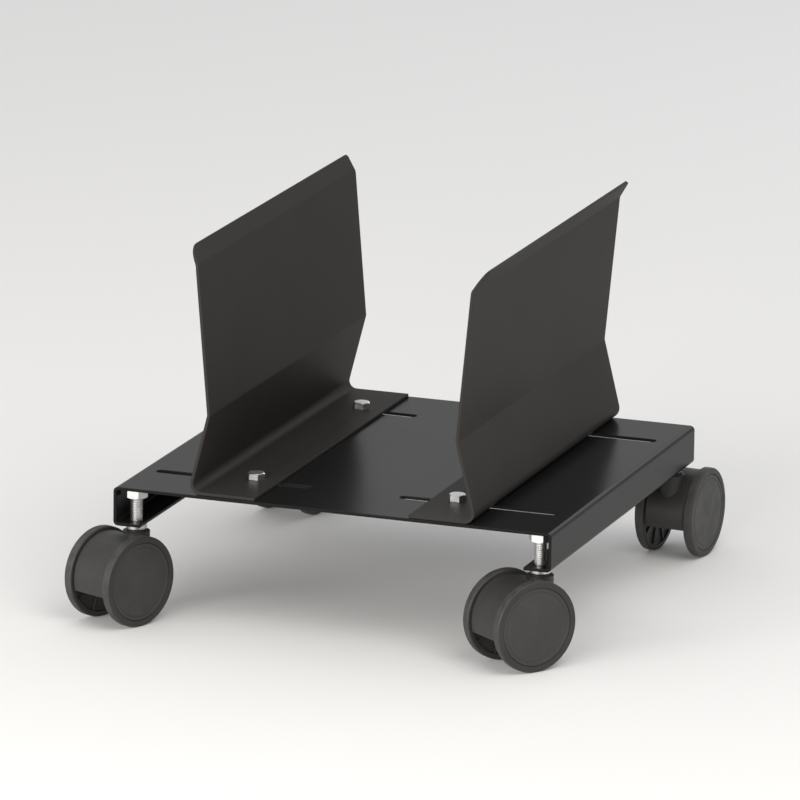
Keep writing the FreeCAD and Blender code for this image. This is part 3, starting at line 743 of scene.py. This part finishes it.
def make_fasteners(side):
    """Bolts through the foot and the slots, with washers and nuts under the tray."""
    body = f"{side}_bracket"
    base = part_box(body)[0].z + SLIDING_GAP
    bolts_low, bolts_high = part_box(f"{body}_bolts")
    fastener("bolt", side, bolt, bolts_high.z, base + SHEET, bolts_low.z)
    low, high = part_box(f"{body}_washers")
    fastener("washer", side, washer, low.z, high.z - SLIDING_GAP, (high.x - low.x) / 2)
    low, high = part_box(f"{body}_nuts")
    fastener("nut", side, hex_block, BOLT_ACROSS, low.z, high.z, BOLT_RADIUS * NUT_BORE, True)


def make_weld_nuts():
    """Nuts welded under the tray's corners, which take the stems."""
    low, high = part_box("caster_weld_nuts")
    bm = bmesh.new()
    for corner in CORNERS:
        x, y, _ = JOINTS[f"{corner}_swivel"]["pos_m"]
        nut = solid(hex_block, WELD_NUT_ACROSS, low.z, high.z, STEM_RADIUS * NUT_BORE, True)
        add(bm, nut, Matrix.Translation((x, y, 0)))
    piece("weld_nuts", bm, "tray", ["caster_weld_nuts"], ZINC_PLATE, sharp=FASTENER_SHARP)


# ---------------------------------------------------------------- casters

def make_stem(corner):
    """Threaded stem with a shoulder, and a grooved spindle that the hood turns on."""
    node = f"{corner}_stem"
    low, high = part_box(node)
    x, y, _ = JOINTS[f"{corner}_swivel"]["pos_m"]
    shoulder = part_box("base_tray")[0].z
    collar = shoulder - COLLAR_HEIGHT
    groove = low.z + SPINDLE_END
    edge = 0.4 * MM
    profile = [
        (STEM_RADIUS - edge, low.z),
        (STEM_RADIUS, low.z + edge),
        (STEM_RADIUS, groove),
        (GROOVE_RADIUS, groove),
        (GROOVE_RADIUS, groove + GROOVE_WIDTH),
        (STEM_RADIUS, groove + GROOVE_WIDTH),
        (STEM_RADIUS, collar),
        (COLLAR_RADIUS - edge, collar),
        (COLLAR_RADIUS, collar + edge),
        (COLLAR_RADIUS, shoulder - edge),
        (COLLAR_RADIUS - edge, shoulder),
        (STEM_RADIUS - THREAD_DEPTH * STEM_PITCH, shoulder),
    ]
    bm = solid(lathe, profile, ROUND_STEPS, False)
    add(bm, solid(thread, STEM_RADIUS, STEM_PITCH, shoulder, high.z))
    place = Matrix.Translation((x, y, 0))
    piece(f"{node}_turned", bm, "tray", [node], ZINC_PLATE, place, FASTENER_SHARP)


def wheel_place(corner, letter):
    """Frame at the middle of the caster's axle, with Z pointing out through the wheel."""
    low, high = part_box(f"{corner}_axle")
    way = Vector(JOINTS[f"{corner}_wheel_{letter}_spin"]["axis"]) * (1 if letter == "a" else -1)
    return Matrix.Translation((low + high) / 2) @ way.to_track_quat("Z", "Y").to_matrix().to_4x4()


def rib(bm, angle):
    """Radial rib on the inner side of the wheel's disc."""
    inner, outer = HUB_RADIUS - RIB_OVERLAP, RIM_RADIUS + RIB_OVERLAP
    front, back = RIM_INNER_FACE + RIB_SETBACK, DISC_FACE + RIB_SUNK
    made = bmesh.ops.create_cube(bm, size=1)["verts"]
    size = Matrix.Diagonal((outer - inner, RIB_THICKNESS, back - front, 1))
    middle = Matrix.Translation(((inner + outer) / 2, 0, (front + back) / 2))
    bmesh.ops.transform(bm, matrix=Matrix.Rotation(angle, 4, "Z") @ middle @ size, verts=made)


def make_wheel(corner, letter):
    """Wheel with a rounded tread, a ribbed disc and a long hub."""
    body = f"{corner}_wheel_{letter}"
    corners = [
        (AXLE_BORE, HUB_FACE),
        (HUB_RADIUS, HUB_FACE),
        (HUB_RADIUS, DISC_FACE),
        (RIM_RADIUS, DISC_FACE),
        (RIM_RADIUS, RIM_INNER_FACE),
        (WHEEL_RADIUS, RIM_INNER_FACE),
        (WHEEL_RADIUS, RIM_OUTER_FACE),
        (CAP_SEAT, RIM_OUTER_FACE),
        (CAP_SEAT, CAP_BACK),
        (AXLE_BORE, CAP_BACK),
    ]
    small = 0.3 * MM
    radii = {1: small, 2: small, 3: 0.8 * MM, 4: small, 5: TREAD_EDGE, 6: TREAD_EDGE, 7: small}
    bm = solid(lathe, rounded(corners, radii, steps=6), WHEEL_STEPS)
    for number in range(RIB_COUNT):
        rib(bm, math.tau * number / RIB_COUNT)
    place = wheel_place(corner, letter)
    obj = piece(f"{body}_moulding", bm, body, [body], WHEEL_PLASTIC, place)
    even_shading(obj)


def make_cap(corner, letter):
    """Cap set into the wheel's outer face, with a shallow ring near its edge."""
    small = 0.2 * MM
    ring_radius = CAP_RADIUS - RING_INSET
    dish = CAP_FACE - CAP_DISH
    profile = [
        (CAP_RADIUS - small, CAP_BACK),
        (CAP_RADIUS, CAP_BACK + small),
        (CAP_RADIUS, CAP_FACE),
        (ring_radius + RING_HALF, CAP_FACE),
        (ring_radius, CAP_FACE - RING_DEPTH),
        (ring_radius - RING_HALF, dish),
        (CAP_MIDDLE, dish),
    ]
    radii = {2: CAP_EDGE, 3: small, 4: small, 5: small}
    bm = solid(lathe, rounded(profile, radii, steps=5), WHEEL_STEPS, False)
    node = f"{corner}_cap_{letter}"
    place = wheel_place(corner, letter)
    obj = piece(f"{node}_disc", bm, f"{corner}_wheel_{letter}", [node], CAP_PLASTIC, place)
    even_shading(obj)


def finish_cad_nodes():
    """Materials of the CAD nodes that stay in view."""
    kept = {
        "hood": HOOD_PLASTIC,
        "swivel_sleeve": SLEEVE_PLASTIC,
        "retaining_clip": SPRING_STEEL,
        "axle": ZINC_PLATE,
    }
    for corner in CORNERS:
        for part, material in kept.items():
            obj = frame["nodes"][f"{corner}_{part}"]
            obj.data.materials.clear()
            obj.data.materials.append(material)


# ---------------------------------------------------------------- studio

def area_light(name, place, target, size, power, colour):
    """Soft rectangular light that points at a target."""
    data = bpy.data.lights.new(name, "AREA")
    data.shape = "RECTANGLE"
    data.size, data.size_y = size
    data.energy = power
    data.color = colour
    light = bpy.data.objects.new(name, data)
    bpy.context.scene.collection.objects.link(light)
    light.location = place
    light.rotation_euler = (Vector(target) - Vector(place)).to_track_quat("-Z", "Y").to_euler()


def make_studio(centre):
    """Pale floor, pale surroundings and three soft lights."""
    bm = bmesh.new()
    bmesh.ops.create_grid(bm, x_segments=1, y_segments=1, size=FLOOR_REACH)
    mesh = bpy.data.meshes.new("floor")
    bm.to_mesh(mesh)
    bm.free()
    mesh.materials.append(floor_paint())
    floor = bpy.data.objects.new("floor", mesh)
    bpy.context.scene.collection.objects.link(floor)

    world = bpy.data.worlds.new("studio")
    world.use_nodes = True
    background = world.node_tree.nodes["Background"]
    background.inputs["Color"].default_value = SURROUNDINGS
    background.inputs["Strength"].default_value = 0.71
    bpy.context.scene.world = world
    bpy.context.scene.view_settings.view_transform = "Standard"

    lights = {
        "key": dict(place=(1.2, -1.05, 1.9), size=(1.5, 1.5), power=20, colour=(1, 0.96, 0.92)),
        "front_fill": dict(place=(-0.8, -2.8, 0.9), size=(3, 0.9), power=88, colour=(1, 0.965, 0.925)),
        "back": dict(place=(0.7, 2.1, 1.3), size=(1.8, 0.9), power=6, colour=(0.86, 0.92, 1)),
    }
    for name, light in lights.items():
        area_light(name, target=centre, **light)


def make_camera(centre):
    """Long lens at the photograph's angle, rolled a little because upright lines slant there."""
    azimuth, elevation, roll = (math.radians(angle) for angle in (19.7, 14.5, 0.8))
    distance = 5.5
    level = math.cos(elevation)
    back = Vector((math.sin(azimuth) * level, -math.cos(azimuth) * level, math.sin(elevation)))
    data = bpy.data.cameras.new("camera")
    data.lens = 390
    data.sensor_width = 36
    camera = bpy.data.objects.new("camera", data)
    bpy.context.scene.collection.objects.link(camera)
    camera.location = centre + back * distance
    aimed = (-back).to_track_quat("-Z", "Y") @ Quaternion((0, 0, 1), roll)
    camera.rotation_euler = aimed.to_euler()
    bpy.context.scene.camera = camera


make_tray()
make_weld_nuts()
for side in SIDES:
    make_bracket(side)
    make_fasteners(side)
for corner in CORNERS:
    make_stem(corner)
    for letter in ("a", "b"):
        make_wheel(corner, letter)
        make_cap(corner, letter)
finish_cad_nodes()
CENTRE = (CAD_BOX[0] + CAD_BOX[1]) / 2
make_studio(CENTRE)
make_camera(CENTRE)
